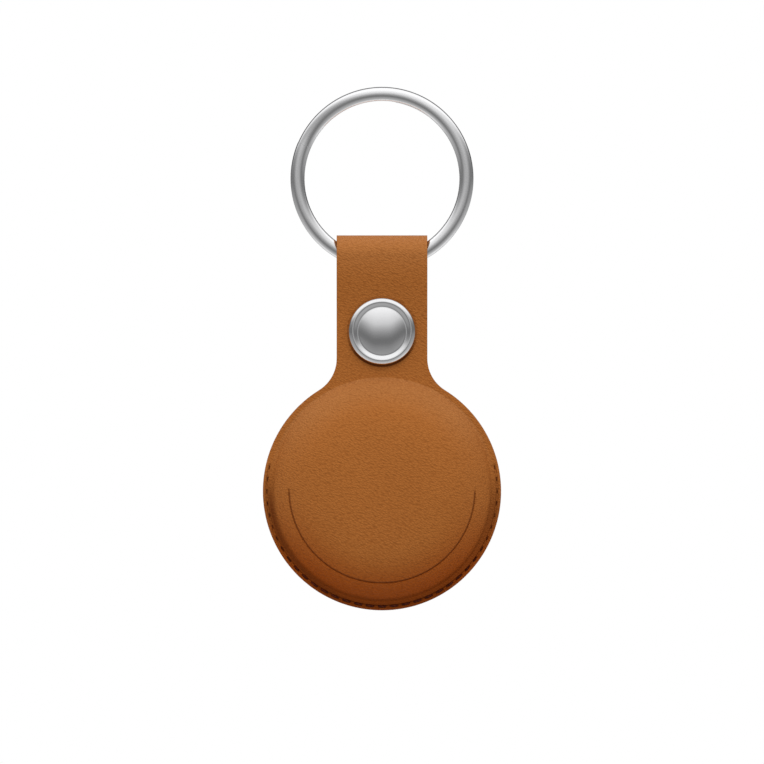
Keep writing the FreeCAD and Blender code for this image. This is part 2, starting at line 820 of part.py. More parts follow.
def tag_base():
    """Back shell of the tag: rim, bayonet ledges and the coin cell's well."""
    body = new_body("tag_base")
    unlocked = "door_turn_angle - notch_slack_angle / 2"
    spin_body(body, 1, unlocked)
    well_outside = "well_radius + well_wall"
    turn(body, "shell", [
        ("0", "floor_under"),
        (well_outside, "floor_under"),
        (well_outside, "shelf_top - shelf_thickness"),
        ("spigot_radius - case_wall", "shelf_top - shelf_thickness"),
        ("spigot_radius - case_wall", "spigot_end"),
        ("spigot_radius", "spigot_end"),
        ("spigot_radius", "parting_height"),
        ("parting_radius", "parting_height", "tag_back_edge", LEFT),
        ("back_centre", "tag_back_edge"),
        ("bore_radius", "tag_back_edge"),
        ("bore_radius", "ledge_top"),
        ("ledge_radius", "ledge_top"),
        ("ledge_radius", "ledge_under"),
        ("bore_radius", "ledge_under"),
        ("bore_radius", "shelf_top"),
        ("well_radius", "shelf_top"),
        ("well_radius", "floor_top"),
        ("0", "floor_top"),
    ])
    gap = rectangle(
        "ledge_radius - door_fit", "bore_radius", "ledge_under - door_fit", "ledge_top + seat_gap")
    notch = turn(body, "notch", gap, "lug_angle + notch_slack_angle", cut=True)
    pattern(body, "notches", notch, "360", "3")

    slots = sketch_on(body, "XZ_Plane", "contact_slots_outline")
    spin_sketch(slots, (0, 0, 1), unlocked)
    half = "(contact_width / 2 + seat_gap)"
    leaf = "(cell_diameter / 2 + contact_gap)"
    draw(slots, rectangle(f"-{half}", half, f"{leaf} - seat_gap", f"{leaf} + contact_sheet + seat_gap"))
    foot = "(contact_reach + contact_sheet + seat_gap)"
    draw(slots, rectangle(f"-{half}", half, f"-{foot}", "-(contact_reach - seat_gap)"))
    cut = body.newObject("PartDesign::Pocket", "contact_slots")
    cut.Profile = slots
    cut.Reversed = True
    cut.setExpression("Length", bound("-floor_under"))


def battery_door():
    """Pressed steel battery door with three bayonet lugs, its seal and the pad that holds the cell down."""
    door = new_body("battery_door")
    raised = "(window_radius - door_land)"
    rise = "(tag_thickness / 2 - tag_back_edge)"
    turn(door, "plate", [
        ("0", "door_under"),
        ("skirt_inside", "door_under"),
        ("skirt_inside", "lug_under"),
        ("skirt_radius", "lug_under"),
        ("skirt_radius", "door_under"),
        ("door_radius", "door_under"),
        ("door_radius", "tag_back_edge"),
        (f"{raised} + door_land / 2", "tag_back_edge"),
        (raised, f"tag_back_edge + {rise} / 2", f"({raised} ^ 2 + ({rise} / 2) ^ 2) / {rise}", LEFT),
        ("0", "tag_thickness / 2"),
    ])
    foot = rectangle("skirt_radius - skirt_wall / 2", "door_radius", "lug_under", "lug_top")
    lug = turn(door, "lug", foot, "lug_angle")
    pattern(door, "lugs", lug, "360", "3")

    seal = new_body("door_seal")
    turn(seal, "gasket", rectangle(
        "door_radius - seal_width", "door_radius", "door_under - seal_height", "door_under"))

    cushion = new_body("door_pad")
    pad_radius = "(skirt_inside - pad_margin)"
    turn(cushion, "foam", rectangle(
        f"{pad_radius} - pad_width", pad_radius, "door_under - pad_thickness", "door_under"))


tag_cover()
tag_base()
battery_door()

# Coin cell and its contacts


def power():
    """Coin cell in the well, a side leaf on its can and a strip under its base, both down to the board."""
    cell = new_body("coin_cell")
    radius = "(cell_diameter / 2)"
    turn(cell, "can", [
        ("0", "cell_under"),
        (f"{radius} - 2 * cell_can_edge", "cell_under"),
        (radius, "cell_under + cell_can_edge"),
        (radius, "cell_top"),
        ("0", "cell_top"),
    ])

    leaf = new_body("positive_contact")
    side = sketch_on(leaf, "YZ_Plane", "leaf_outline")
    inner = f"({radius} + contact_gap)"
    draw(side, rectangle("board_back", "cell_top - 2 * cell_can_edge", inner, f"{inner} + contact_sheet"))
    pad(leaf, "leaf", side, "contact_width", symmetric=True)

    strip = new_body("negative_contact")
    side = sketch_on(strip, "YZ_Plane", "strip_outline")
    top = "(floor_top + contact_gap + contact_sheet)"
    draw(side, [
        ("board_back", "-contact_reach"),
        ("board_back", "-(contact_reach + contact_sheet)"),
        (top, "-(contact_reach + contact_sheet)"),
        (top, "contact_width / 2"),
        (f"{top} - contact_sheet", "contact_width / 2"),
        (f"{top} - contact_sheet", "-contact_reach"),
    ])
    pad(strip, "strip", side, "contact_width", symmetric=True)


power()

# Circuit board, antenna and speaker


def electronics():
    """Ring-shaped board with its chips, antenna band in the cover, magnet and coil of the speaker."""
    board = new_body("circuit_board")
    turn(board, "laminate", rectangle("board_hole", "board_radius", "board_front", "board_back"))

    chips = new_body("board_chips", y="board_front")
    sketch = sketch_on(chips, "XZ_Plane", "chips_outline")
    half = "(chip_length / 2)"
    reach = "(shield_width / 2)"
    draw(sketch, rectangle(
        "-shield_length / 2", "shield_length / 2", f"-(chip_ring + {reach})", f"-(chip_ring - {reach})"))
    for across in ("-chip_ring", "chip_ring"):
        draw(sketch, rectangle(f"{across} - {half}", f"{across} + {half}", f"-{half}", half))
    pad(chips, "packages", sketch, "chip_height")

    antenna = new_body("antenna_band")
    outer = "(tag_radius - case_wall - 1.5 * case_fit)"
    top = "(spigot_end - case_fit)"
    turn(antenna, "band", rectangle(f"{outer} - antenna_wall", outer, f"{top} - antenna_height", top))

    magnet = new_body("speaker_magnet")
    turn(magnet, "disc", rectangle("0", "magnet_diameter / 2", "board_back - magnet_height", "board_back"))

    coil = new_body("voice_coil")
    dome_radius = "(front_centre / sin(dome_angle) + tag_front_edge - case_wall)"
    sag = f"coil_outside ^ 2 / (2 * {dome_radius})"
    face = f"(case_wall - tag_thickness / 2 + {sag} + seat_gap)"
    turn(coil, "winding", rectangle("coil_inside", "coil_outside", face, f"{face} + coil_height"))


electronics()

# Check every piece and write it out

doc.recompute()
pieces = [thing for thing in doc.Objects if thing.TypeId == "PartDesign::Body" or thing.Label == "split_ring"]
for thing in doc.Objects:
    if "Invalid" in thing.State or "Error" in thing.State:
        raise RuntimeError(f"{thing.Label} did not build: {thing.State}")
for piece in pieces:
    if piece.Shape.isNull() or not piece.Shape.isValid() or not piece.Shape.Solids:
        raise RuntimeError(f"{piece.Label} has no sound solid")
os.makedirs("parts", exist_ok=True)
for piece in pieces:
    piece.Shape.exportStep(f"parts/{piece.Label}.step")
    print(piece.Label, len(piece.Shape.Solids), "solids", round(piece.Shape.Volume, 2), "mm3")
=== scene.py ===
import math

import bmesh
import bpy
from mathutils import Matrix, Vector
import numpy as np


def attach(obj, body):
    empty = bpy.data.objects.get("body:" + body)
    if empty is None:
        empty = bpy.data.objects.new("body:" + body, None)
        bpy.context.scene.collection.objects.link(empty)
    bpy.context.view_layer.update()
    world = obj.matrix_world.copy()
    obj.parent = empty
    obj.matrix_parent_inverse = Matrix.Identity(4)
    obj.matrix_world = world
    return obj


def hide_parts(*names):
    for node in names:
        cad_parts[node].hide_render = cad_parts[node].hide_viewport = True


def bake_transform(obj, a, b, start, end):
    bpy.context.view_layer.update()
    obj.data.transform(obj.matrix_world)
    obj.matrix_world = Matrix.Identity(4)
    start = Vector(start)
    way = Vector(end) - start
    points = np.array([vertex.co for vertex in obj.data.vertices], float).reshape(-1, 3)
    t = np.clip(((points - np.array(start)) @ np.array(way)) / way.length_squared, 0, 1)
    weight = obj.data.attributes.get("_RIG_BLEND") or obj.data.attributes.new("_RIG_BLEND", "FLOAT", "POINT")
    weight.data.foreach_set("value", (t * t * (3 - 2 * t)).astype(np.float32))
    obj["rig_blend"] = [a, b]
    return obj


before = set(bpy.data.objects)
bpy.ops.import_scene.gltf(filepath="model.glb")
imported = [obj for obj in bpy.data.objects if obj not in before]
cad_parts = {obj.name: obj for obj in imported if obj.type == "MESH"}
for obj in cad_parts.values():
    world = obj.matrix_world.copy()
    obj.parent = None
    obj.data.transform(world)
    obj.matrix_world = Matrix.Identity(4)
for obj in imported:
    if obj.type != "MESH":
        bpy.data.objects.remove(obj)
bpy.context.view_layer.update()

# Inside of the tag: a coin cell with two sprung contacts, a ring-shaped board with its chips,
# an antenna band, and the magnet and coil that make the cover sound. Bought parts of steel,
# laminate, resin and copper, stacked in the tag's base.


class Shade:
    """One socket of a node tree. Arithmetic on it adds Math nodes."""

    def __init__(self, tree, socket=None):
        self.tree = tree
        self.socket = socket

    def feed(self, socket, value):
        """Link a socket to another shade, or write a plain value on it."""
        if isinstance(value, Shade):
            self.tree.links.new(value.socket, socket)
        else:
            socket.default_value = value

    def node(self, kind, settings, inputs, output=0):
        """Add a node, its settings first and then its sockets, and hand back one of its outputs."""
        made = self.tree.nodes.new(kind)
        for name, value in settings.items():
            if name != "stops":
                setattr(made, name, value)
                continue
            stops = made.color_ramp.elements
            while len(stops) < len(value):
                stops.new(1.0)
            for stop, (position, level) in zip(stops, value):
                stop.position = position
                stop.color = (level, level, level, 1.0)
        for name, value in inputs.items():
            self.feed(made.inputs[name], value)
        return Shade(self.tree, made.outputs[output])

    def math(self, operation, first, second):
        return self.node("ShaderNodeMath", {"operation": operation}, {0: first, 1: second})

    def __add__(self, other):
        return self.math("ADD", self, other)

    def __radd__(self, other):
        return self.math("ADD", other, self)

    def __sub__(self, other):
        return self.math("SUBTRACT", self, other)

    def __rsub__(self, other):
        return self.math("SUBTRACT", other, self)

    def __mul__(self, other):
        return self.math("MULTIPLY", self, other)

    def __rmul__(self, other):
        return self.math("MULTIPLY", other, self)

    def __abs__(self):
        return self.math("ABSOLUTE", self, 0.0)


def finish(name, settings):
    """A new material, with what is the same all over it written on its shader."""
    material = bpy.data.materials.new(name)
    material.use_nodes = True
    shader = material.node_tree.nodes["Principled BSDF"]
    for socket, value in settings.items():
        shader.inputs[socket].default_value = value
    return material, Shade(material.node_tree), shader.inputs


def tint(paint, share, low, high):
    """Mix two colours by a share."""
    settings = {"data_type": "RGBA"}
    return paint.node("ShaderNodeMix", settings, {0: share, 6: (*low, 1.0), 7: (*high, 1.0)}, 2)


def object_place(paint):
    """Where a point lies on its own object."""
    return paint.node("ShaderNodeTexCoord", {}, {}, "Object")


def noise(paint, place, size, detail=3.0):
    """Soft noise whose patches are about a size in millimetres."""
    inputs = {"Vector": place, "Scale": 1000.0 / size, "Detail": detail}
    return paint.node("ShaderNodeTexNoise", {}, inputs, "Fac")


def relief(paint, height, depth):
    """Bumps of a depth in millimetres."""
    inputs = {"Strength": 1.0, "Distance": depth / 1000.0, "Height": height}
    return paint.node("ShaderNodeBump", {}, inputs)


def mottled(name, low, high, size, rough, depth, settings):
    """A finish whose tone, gloss and relief all drift with one fine noise."""
    material, paint, sockets = finish(name, settings)
    grain = noise(paint, object_place(paint), size, 5.0)
    paint.feed(sockets["Base Color"], tint(paint, grain, low, high))
    paint.feed(sockets["Roughness"], rough[0] + (rough[1] - rough[0]) * grain)
    paint.feed(sockets["Normal"], relief(paint, grain, depth))
    return material


def dress(material, *nodes):
    """Put a finish on solids that are shown as they come."""
    for node in nodes:
        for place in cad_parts[node].material_slots:
            place.material = material


cell_can = mottled(
    "satin_cell_can", (0.50, 0.50, 0.48), (0.62, 0.62, 0.60), 0.4, (0.28, 0.42), 0.004, {"Metallic": 1.0})
gold_plate = mottled(
    "gold_plated_spring", (0.80, 0.56, 0.22), (0.88, 0.66, 0.30), 0.5, (0.22, 0.36), 0.003, {"Metallic": 1.0})
solder_mask = mottled(
    "green_solder_mask", (0.010, 0.075, 0.035), (0.020, 0.115, 0.055), 0.6, (0.30, 0.45), 0.006, {})
chip_resin = mottled(
    "black_chip_resin", (0.012, 0.012, 0.013), (0.026, 0.026, 0.028), 0.15, (0.50, 0.68), 0.006, {})
nickel_magnet = mottled(
    "nickel_on_magnet", (0.52, 0.50, 0.47), (0.60, 0.58, 0.55), 0.7, (0.20, 0.30), 0.003, {"Metallic": 1.0})
coil_copper = mottled(
    "enamelled_copper", (0.55, 0.20, 0.07), (0.72, 0.31, 0.12), 0.12, (0.30, 0.45), 0.02, {"Metallic": 1.0})
dress(cell_can, "coin_cell")
dress(gold_plate, "positive_contact", "negative_contact", "antenna_band")
dress(solder_mask, "circuit_board")
dress(chip_resin, "board_chips")
dress(nickel_magnet, "speaker_magnet")
dress(coil_copper, "voice_coil")

# Casing of the tag: a glossy white cover snapped over a white base, both moulded in plastic, and a
# polished steel door over the coin cell. The door is pressed with a skirt and has three lugs, which
# twist out of three notches in the base.

white_plastic = mottled(
    "white_tag_plastic", (0.80, 0.80, 0.78), (0.84, 0.84, 0.83), 1.2, (0.16, 0.24), 0.002, {"IOR": 1.49})
dress(white_plastic, "tag_cover", "tag_base")

POCKET_HEIGHT = -51.25135
STRAP_FORWARD = 1.1


def profile(mesh, start, runs):
    """Draw a profile in the XY plane: runs are points to go to, or arcs of (centre, angle, steps)."""
    tip = bmesh.ops.create_vert(mesh, co=(*start, 0))["vert"][0]
    for run in runs:
        if len(run) == 2:
            tip = bmesh.ops.extrude_vert_indiv(mesh, verts=[tip])["verts"][0]
            tip.co = (*run, 0)
            continue
        x, y, angle, steps = run
        swept = bmesh.ops.spin(
            mesh, geom=[tip], cent=(x, y, 0), axis=(0, 0, 1), angle=math.radians(angle), steps=steps)
        tip = swept["geom_last"][0]


def spun(start, runs, height, steps=180):
    """Spin a profile round the Y axis, close it and lift it to its height on the holder."""
    mesh = bmesh.new()
    profile(mesh, start, runs)
    bmesh.ops.spin(
        mesh, geom=mesh.verts[:] + mesh.edges[:], cent=(0, 0, 0), axis=(0, 1, 0),
        angle=math.tau, steps=steps, use_merge=True)
    bmesh.ops.remove_doubles(mesh, verts=mesh.verts, dist=0.0005)
    bmesh.ops.recalc_face_normals(mesh, faces=mesh.faces)
    bmesh.ops.translate(mesh, vec=(0, 0, height), verts=mesh.verts)
    return mesh


def soften(mesh, edges, size, segments=2):
    """Round off some edges, and hand back the new faces."""
    return bmesh.ops.bevel(
        mesh, geom=edges, offset=size, segments=segments, profile=0.5, affect="EDGES", material=-1,
        clamp_overlap=True)["faces"]


def corners(mesh, angle=40):
    """Edges where faces meet at more than an angle."""
    mesh.normal_update()
    return [edge for edge in mesh.edges if edge.is_manifold and edge.calc_face_angle() > math.radians(angle)]


def piece(name, mesh, finishes, forward=STRAP_FORWARD):
    """A finished object of a mesh drawn in millimetres, set forward of the ring's plane."""
    bmesh.ops.translate(mesh, vec=(0, -forward, 0), verts=mesh.verts)
    bmesh.ops.scale(mesh, vec=(0.001, 0.001, 0.001), verts=mesh.verts)
    for face in mesh.faces:
        face.smooth = True
    data = bpy.data.meshes.new(name)
    mesh.to_mesh(data)
    mesh.free()
    data.set_sharp_from_angle(angle=math.radians(40))
    for material in finishes:
        data.materials.append(material)
    made = bpy.data.objects.new(name, data)
    bpy.context.scene.collection.objects.link(made)
    return made


def from_axis(paint, place, height):
    """The way to a point from a line that runs front to back at a height on the holder."""
    inputs = {0: place, 1: (1, 0, 1), 2: (0, 0, -height / 1000)}
    way = paint.node("ShaderNodeVectorMath", {"operation": "MULTIPLY_ADD"}, inputs)
    return way, paint.node("ShaderNodeVectorMath", {"operation": "LENGTH"}, {0: way}, "Value")


door_steel, paint, sockets = finish("spun_door_steel", {"Metallic": 1.0})
place = object_place(paint)
_, lathe = from_axis(paint, place, POCKET_HEIGHT)
rings = paint.node("ShaderNodeTexNoise", {"noise_dimensions": "1D"}, {"W": lathe, "Scale": 9000.0}, "Fac")
smears = noise(paint, place, 4.0)
paint.feed(sockets["Base Color"], tint(paint, rings, (0.66, 0.67, 0.68), (0.74, 0.75, 0.76)))
paint.feed(sockets["Roughness"], 0.14 + 0.10 * smears)
paint.feed(sockets["Normal"], relief(paint, rings, 0.0012))

DOOR_RADIUS = 12.0
DOOR_UNDER = 3.0
DOOR_RIM = 3.6
SKIRT_IN = 10.45
SKIRT_OUT = 11.05
SKIRT_FOOT = 1.6
LUG_IN = 10.75
LUG_TOP = 2.1
LUG_TURN = 30

lid = spun((0, DOOR_UNDER), [
    (SKIRT_IN, DOOR_UNDER), (SKIRT_IN, SKIRT_FOOT), (SKIRT_OUT, SKIRT_FOOT), (SKIRT_OUT, DOOR_UNDER),
    (DOOR_RADIUS, DOOR_UNDER), (DOOR_RADIUS, DOOR_RIM), (10.7, DOOR_RIM), (10.5, 3.8),
    (0, -271.725, 2.1824, 12),
], POCKET_HEIGHT, 240)
soften(lid, corners(lid, 30), 0.06)
door_axis = {"cent": (0, 0, POCKET_HEIGHT), "axis": (0, 1, 0)}
lug = ((LUG_IN, SKIRT_FOOT), (DOOR_RADIUS, SKIRT_FOOT), (DOOR_RADIUS, LUG_TOP), (LUG_IN, LUG_TOP))
for turned in (0, 120, 240):
    foot = [bmesh.ops.create_vert(lid, co=(r, y, POCKET_HEIGHT))["vert"][0] for r, y in lug]
    sole = bmesh.ops.contextual_create(lid, geom=foot)["faces"][0]
    bmesh.ops.rotate(
        lid, verts=foot, cent=door_axis["cent"], matrix=Matrix.Rotation(math.radians(turned), 3, "Y"))
    bmesh.ops.spin(
        lid, geom=foot + sole.edges[:] + [sole], angle=math.radians(LUG_TURN), steps=10, **door_axis)
bmesh.ops.recalc_face_normals(lid, faces=lid.faces)
battery_lid = piece("battery_lid", lid, [door_steel])
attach(battery_lid, "door")
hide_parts("battery_door")

# Seal and pad under the door: a rubber gasket that sits in the door's rim and a ring of foam
# glued behind the plate, which presses the cell on to its contacts.


def washer(inner, outer, low, high):
    """A flat ring under the door, square in section."""
    runs = [(outer, low), (outer, high), (inner, high), (inner, low)]
    return spun((inner, low), runs, POCKET_HEIGHT, 120)


rubber = mottled("seal_rubber", (0.010, 0.010, 0.011), (0.022, 0.022, 0.024), 0.2, (0.55, 0.75), 0.01, {})
gasket = washer(11.2, DOOR_RADIUS, 2.7, DOOR_UNDER)
soften(gasket, corners(gasket), 0.1, 3)
seal = piece("door_gasket", gasket, [rubber])
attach(seal, "door")
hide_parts("door_seal")

foam = mottled("pad_foam", (0.035, 0.035, 0.037), (0.075, 0.075, 0.078), 0.25, (0.85, 0.98), 0.05, {})
cushion = washer(6.0, 9.5, 2.52, DOOR_UNDER)
soften(cushion, corners(cushion), 0.18, 4)
pad = piece("door_cushion", cushion, [foam])
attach(pad, "door")
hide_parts("door_pad")

# Linings of the pocket: thin suede microfibre, pressed to the tag's shape and glued inside the
# front and the back leather. Only the edge round the window shows.

suede, paint, sockets = finish("suede_lining", {"Sheen Weight": 0.35, "Sheen Roughness": 0.5})
place = object_place(paint)
nap = noise(paint, place, 0.12, 6.0)
brushed = noise(paint, place, 2.5)
paint.feed(sockets["Base Color"], tint(paint, brushed, (0.20, 0.10, 0.04), (0.29, 0.15, 0.07)))
paint.feed(sockets["Roughness"], 0.82 + 0.15 * nap)
paint.feed(sockets["Normal"], relief(paint, nap, 0.04))

LINING = 0.3
TAG_RISE = 4.0
TAG_EDGE = 3.3
FRONT_CENTRE = 12.65
BACK_CENTRE = 12.35
DOME_CENTRE = 113.95
DOME_ANGLE = 6.3348

lining_off = 0.5
start = (0, -(TAG_RISE + lining_off))
runs = [
    (0, DOME_CENTRE, DOME_ANGLE, 12),
    (FRONT_CENTRE, 0, 90 - DOME_ANGLE, 24),
    (FRONT_CENTRE + TAG_EDGE + lining_off - LINING, 0),
    (FRONT_CENTRE, 0, DOME_ANGLE - 90, 24),
    (0, DOME_CENTRE, -DOME_ANGLE, 12),
    start,
]
front_suede = piece("front_suede", spun(start, runs, POCKET_HEIGHT, 120), [suede])
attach(front_suede, "holder")
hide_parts("front_lining")

lining_window = 11.2
lining_in = 3.8
start = (lining_window, lining_in)
runs = [
    (BACK_CENTRE, lining_in),
    (BACK_CENTRE, 0, -90, 20),
    (BACK_CENTRE + lining_in + LINING, 0),
    (BACK_CENTRE, 0, 90, 20),
    (lining_window, lining_in + LINING),
    start,
]
back_suede = piece("back_suede", spun(start, runs, POCKET_HEIGHT, 120), [suede])
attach(back_suede, "holder")
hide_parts("back_lining")

# Back of the pocket: a disc of saddle leather, wet-moulded over the tag, with a flange for the
# seam and a round window over the battery door. The cut edges are painted dark brown.

LEATHER = 1.05
PANEL_RADIUS = 19.49967
CREASE = 0.6
WINDOW_RADIUS = 10.9
SEAM_RADIUS = 18.85
SEAM_END = 13.5
CHANNEL_SIDE = 0.24
CHANNEL_DEPTH = 0.2
EDGE_ROUND = 0.2

leather, paint, sockets = finish(
    "saddle_leather", {"Specular IOR Level": 0.25, "Specular Tint": (1.0, 0.78, 0.32, 1.0)})
place = object_place(paint)


def band(paint, value, inside, outside):
    """1 where a value is under a size, fading to 0 at a larger one."""
    inputs = {"Value": value, "From Min": inside, "From Max": outside, "To Min": 1.0, "To Max": 0.0}
    return paint.node("ShaderNodeMapRange", {"interpolation_type": "SMOOTHSTEP"}, inputs)


def blended(paint, share, under, over, way="MIX"):
    """Lay a colour over a painted one."""
    settings = {"data_type": "RGBA", "blend_type": way}
    return paint.node("ShaderNodeMix", settings, {0: share, 6: under, 7: (*over, 1.0)}, 2)


def ring_mark(paint, distance, radius, inside, outside):
    """A soft mark along a circle, with its radius and half widths in millimetres."""
    return band(paint, abs(distance - radius / 1000), inside / 1000, outside / 1000)


SNAP_HEIGHT = -25.05168
SCORE_HEIGHT = POCKET_HEIGHT + 0.25
SCORE_RADIUS = 15.15
PEBBLE = 0.25
PEBBLE_TURN = 2.09
# Red-brown of the painted shade over the lower half of the pocket.
LOWER_SHADE_TAN = (0.42, 0.075, 0.0015)
# Pale tan of the painted sheen and painted highlights on the upper faces.
TOP_SHEEN_TAN = (0.52, 0.217, 0.074)
GRAIN_SHADE = (0.55, 0.45, 0.35)
# Dark brown of all the painted shade: score groove, cap shadow, crease and flange edge.
PAINTED_SHADE_BROWN = (0.105, 0.016, 0.001)

slant = paint.node(
    "ShaderNodeMapping", {"vector_type": "TEXTURE"},
    {"Vector": place, "Rotation": (0.0, PEBBLE_TURN, 0.0), "Scale": (1.0, 1.0, 2.0)})
pebbles = 1 - paint.node("ShaderNodeTexVoronoi", {}, {"Vector": slant, "Scale": 1000.0 / PEBBLE}, "Distance")
pores = noise(paint, slant, 0.3)
clouds = noise(paint, place, 7.0)
facing = band(paint, paint.node("ShaderNodeSeparateXYZ", {}, {0: place}, "Y"), -0.0017, -0.0013)
score_way, score_distance = from_axis(paint, place, SCORE_HEIGHT)
score_rise = paint.node("ShaderNodeSeparateXYZ", {}, {0: score_way}, "Z")
score_line = ring_mark(paint, score_distance, SCORE_RADIUS, 0.04, 0.18)
# Painted shade in the groove of the score line, on its lower half.
scored = score_line * band(paint, score_rise, -0.00035, -0.00015) * facing
snap_way, snap_distance = from_axis(paint, place, SNAP_HEIGHT - 0.07)
snap_rise = paint.node("ShaderNodeSeparateXYZ", {}, {0: snap_way}, "Z")
# Painted shadow of the snap cap: a dark ring on the leather round the cap, much stronger below it.
painted_cap_shadow = ring_mark(paint, snap_distance, 5.6, 0.1, 0.27) * facing * (
    0.25 + 0.7 * band(paint, snap_rise, -0.0045, -0.001))
_, tag_distance = from_axis(paint, place, POCKET_HEIGHT)
lower = band(paint, score_rise, -0.004, 0.005)
# Painted shade in the crease round the lower half of the bulge.
painted_crease_shade = ring_mark(paint, tag_distance, 18.15, 0.1, 0.85) * lower
# Painted shade on the flange's outer edge over the lower half, darkest at the bottom.
painted_flange_shade = ring_mark(paint, tag_distance, 19.1, 0.2, 1.0) * (
    0.4 * lower + 0.3 * band(paint, score_rise, -0.0175, -0.0125))
# Painted shade: the crease is darker again on the lower left side.
left_side = band(paint, paint.node("ShaderNodeSeparateXYZ", {}, {0: place}, "X"), -0.014, -0.004)
painted_left_crease_shade = ring_mark(paint, tag_distance, 18.25, 0.1, 0.45) * lower * left_side
upper_half = 1 - band(paint, score_rise, 0.001, 0.006)
# Painted highlight: a pale line along the crease round the upper half of the bulge.
painted_crest_highlight = ring_mark(paint, tag_distance, 18.35, 0.1, 0.35) * upper_half
# Painted shade: the outer part of the pocket's lower half is darker and redder, as the leather looks in
# shadow.
painted_lower_shade = (1 - band(paint, tag_distance, 0.0095, 0.0178)) * band(paint, score_rise, -0.016, 0.001)
# Painted sheen from light above: the upper part of the bulge and the top of the fold over the ring are paler.
bulge_top = (1 - band(paint, tag_distance, 0.0125, 0.0175)) * (1 - band(paint, score_rise, 0.003, 0.014))
fold_top = 1 - band(paint, score_rise, 0.0335, 0.0415)
painted_top_sheen = bulge_top * band(paint, tag_distance, 0.01855, 0.01875) + fold_top
tone = tint(paint, clouds, (0.456, 0.153, 0.033), (0.500, 0.172, 0.038))
lower_shaded = blended(paint, 0.9 * painted_lower_shade, tone, LOWER_SHADE_TAN)
# Lay the painted sheen and the painted crease highlight over the tone.
highlighted_tone = blended(paint, 0.5 * painted_top_sheen + 0.15 * painted_crest_highlight, lower_shaded, TOP_SHEEN_TAN)
grained = blended(paint, 0.64 - 0.55 * pebbles + 0.15 * pores, highlighted_tone, GRAIN_SHADE, "MULTIPLY")
# All the painted shade, laid on in one dark brown over the grained colour.
painted_shade = 0.65 * scored + painted_cap_shadow + 0.55 * painted_crease_shade + 0.28 * painted_left_crease_shade + painted_flange_shade
paint.feed(sockets["Base Color"], blended(paint, painted_shade, grained, PAINTED_SHADE_BROWN))
paint.feed(sockets["Roughness"], 0.46 + 0.16 * pores)
paint.feed(sockets["Normal"], relief(paint, 0.9 * pebbles + 0.3 * pores, 0.115))

edge_paint, paint, sockets = finish("painted_leather_edge", {"Specular IOR Level": 0.3})
fibres = noise(paint, object_place(paint), 0.3, 5.0)
paint.feed(sockets["Base Color"], tint(paint, fibres, (0.120, 0.032, 0.007), (0.170, 0.050, 0.012)))
paint.feed(sockets["Roughness"], 0.45 + 0.2 * fibres)
paint.feed(sockets["Normal"], relief(paint, fibres, 0.02))


def cut_edges(mesh, wanted):
    """Round the cut edges of a leather panel and paint them."""
    sharp = [edge for edge in corners(mesh, 60) if wanted(edge)]
    chosen = set(sharp)
    cut = [face for face in mesh.faces if sum(edge in chosen for edge in face.edges) > 1]
    for face in cut + soften(mesh, sharp, EDGE_ROUND, 3):
        if face.is_valid:
            face.material_index = 1


def reach(vertex):
    """Distance of a vertex from the tag's axis."""
    return math.hypot(vertex.co.x, vertex.co.z - POCKET_HEIGHT)


def press_stitch_channel(mesh):
    """Press the shallow channel that the stitches lie in, round the lower part of a flange."""
    for vertex in mesh.verts:
        angle = math.degrees(math.atan2(vertex.co.z - POCKET_HEIGHT, vertex.co.x))
        inside = max(0.0, 1.0 - abs(reach(vertex) - SEAM_RADIUS) / CHANNEL_SIDE)
        sewn = not SEAM_END < angle < 180 - SEAM_END
        if abs(vertex.co.y) > LEATHER - 0.02 and inside and sewn:
            vertex.co.y *= 1 - CHANNEL_DEPTH * min(1.0, 2 * inside) / LEATHER


flange = [(SEAM_RADIUS + side * CHANNEL_SIDE, 1) for side in (-1, -0.5, 0, 0.5, 1)]
flange += [(PANEL_RADIUS, 1), (PANEL_RADIUS, 0)]
back_in = 4.15
back_edge = 5.2
back_foot = BACK_CENTRE + math.sqrt((back_edge + CREASE) ** 2 - (LEATHER + CREASE) ** 2)
wall_angle = math.degrees(math.atan2(LEATHER + CREASE, back_foot - BACK_CENTRE))
start = (WINDOW_RADIUS, back_in)
runs = [(WINDOW_RADIUS, back_edge), (BACK_CENTRE, back_edge), (BACK_CENTRE, 0, wall_angle - 90, 24)]
runs += [(back_foot, LEATHER + CREASE, 90 - wall_angle, 8)]
runs += [(r, y * LEATHER) for r, y in flange]
runs += [(BACK_CENTRE + back_in, 0), (BACK_CENTRE, 0, 90, 16), start]
back = spun(start, runs, POCKET_HEIGHT, 360)
cut_edges(back, lambda edge: reach(edge.verts[0]) > 19 or reach(edge.verts[0]) < 11)
press_stitch_channel(back)
back_leather = piece("back_leather", back, [leather, edge_paint])
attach(back_leather, "holder")
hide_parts("back_panel")

# Front of the pocket and its strap: one piece of the same leather. The disc is moulded over the
# tag and scored with a half-round line; the neck runs into a strap that loops over the ring.

SCORE_ANGLE = 32.05
STRAP_SIDE = 7.425
NECK_RADIUS = 6.1
NECK_ANGLE = 32
STRAP_FLAT_TOP = 32.24967
SWING_HEIGHT = 38.59967
BEND_RADIUS = 3.55
LOOP_RADIUS = 2.60518

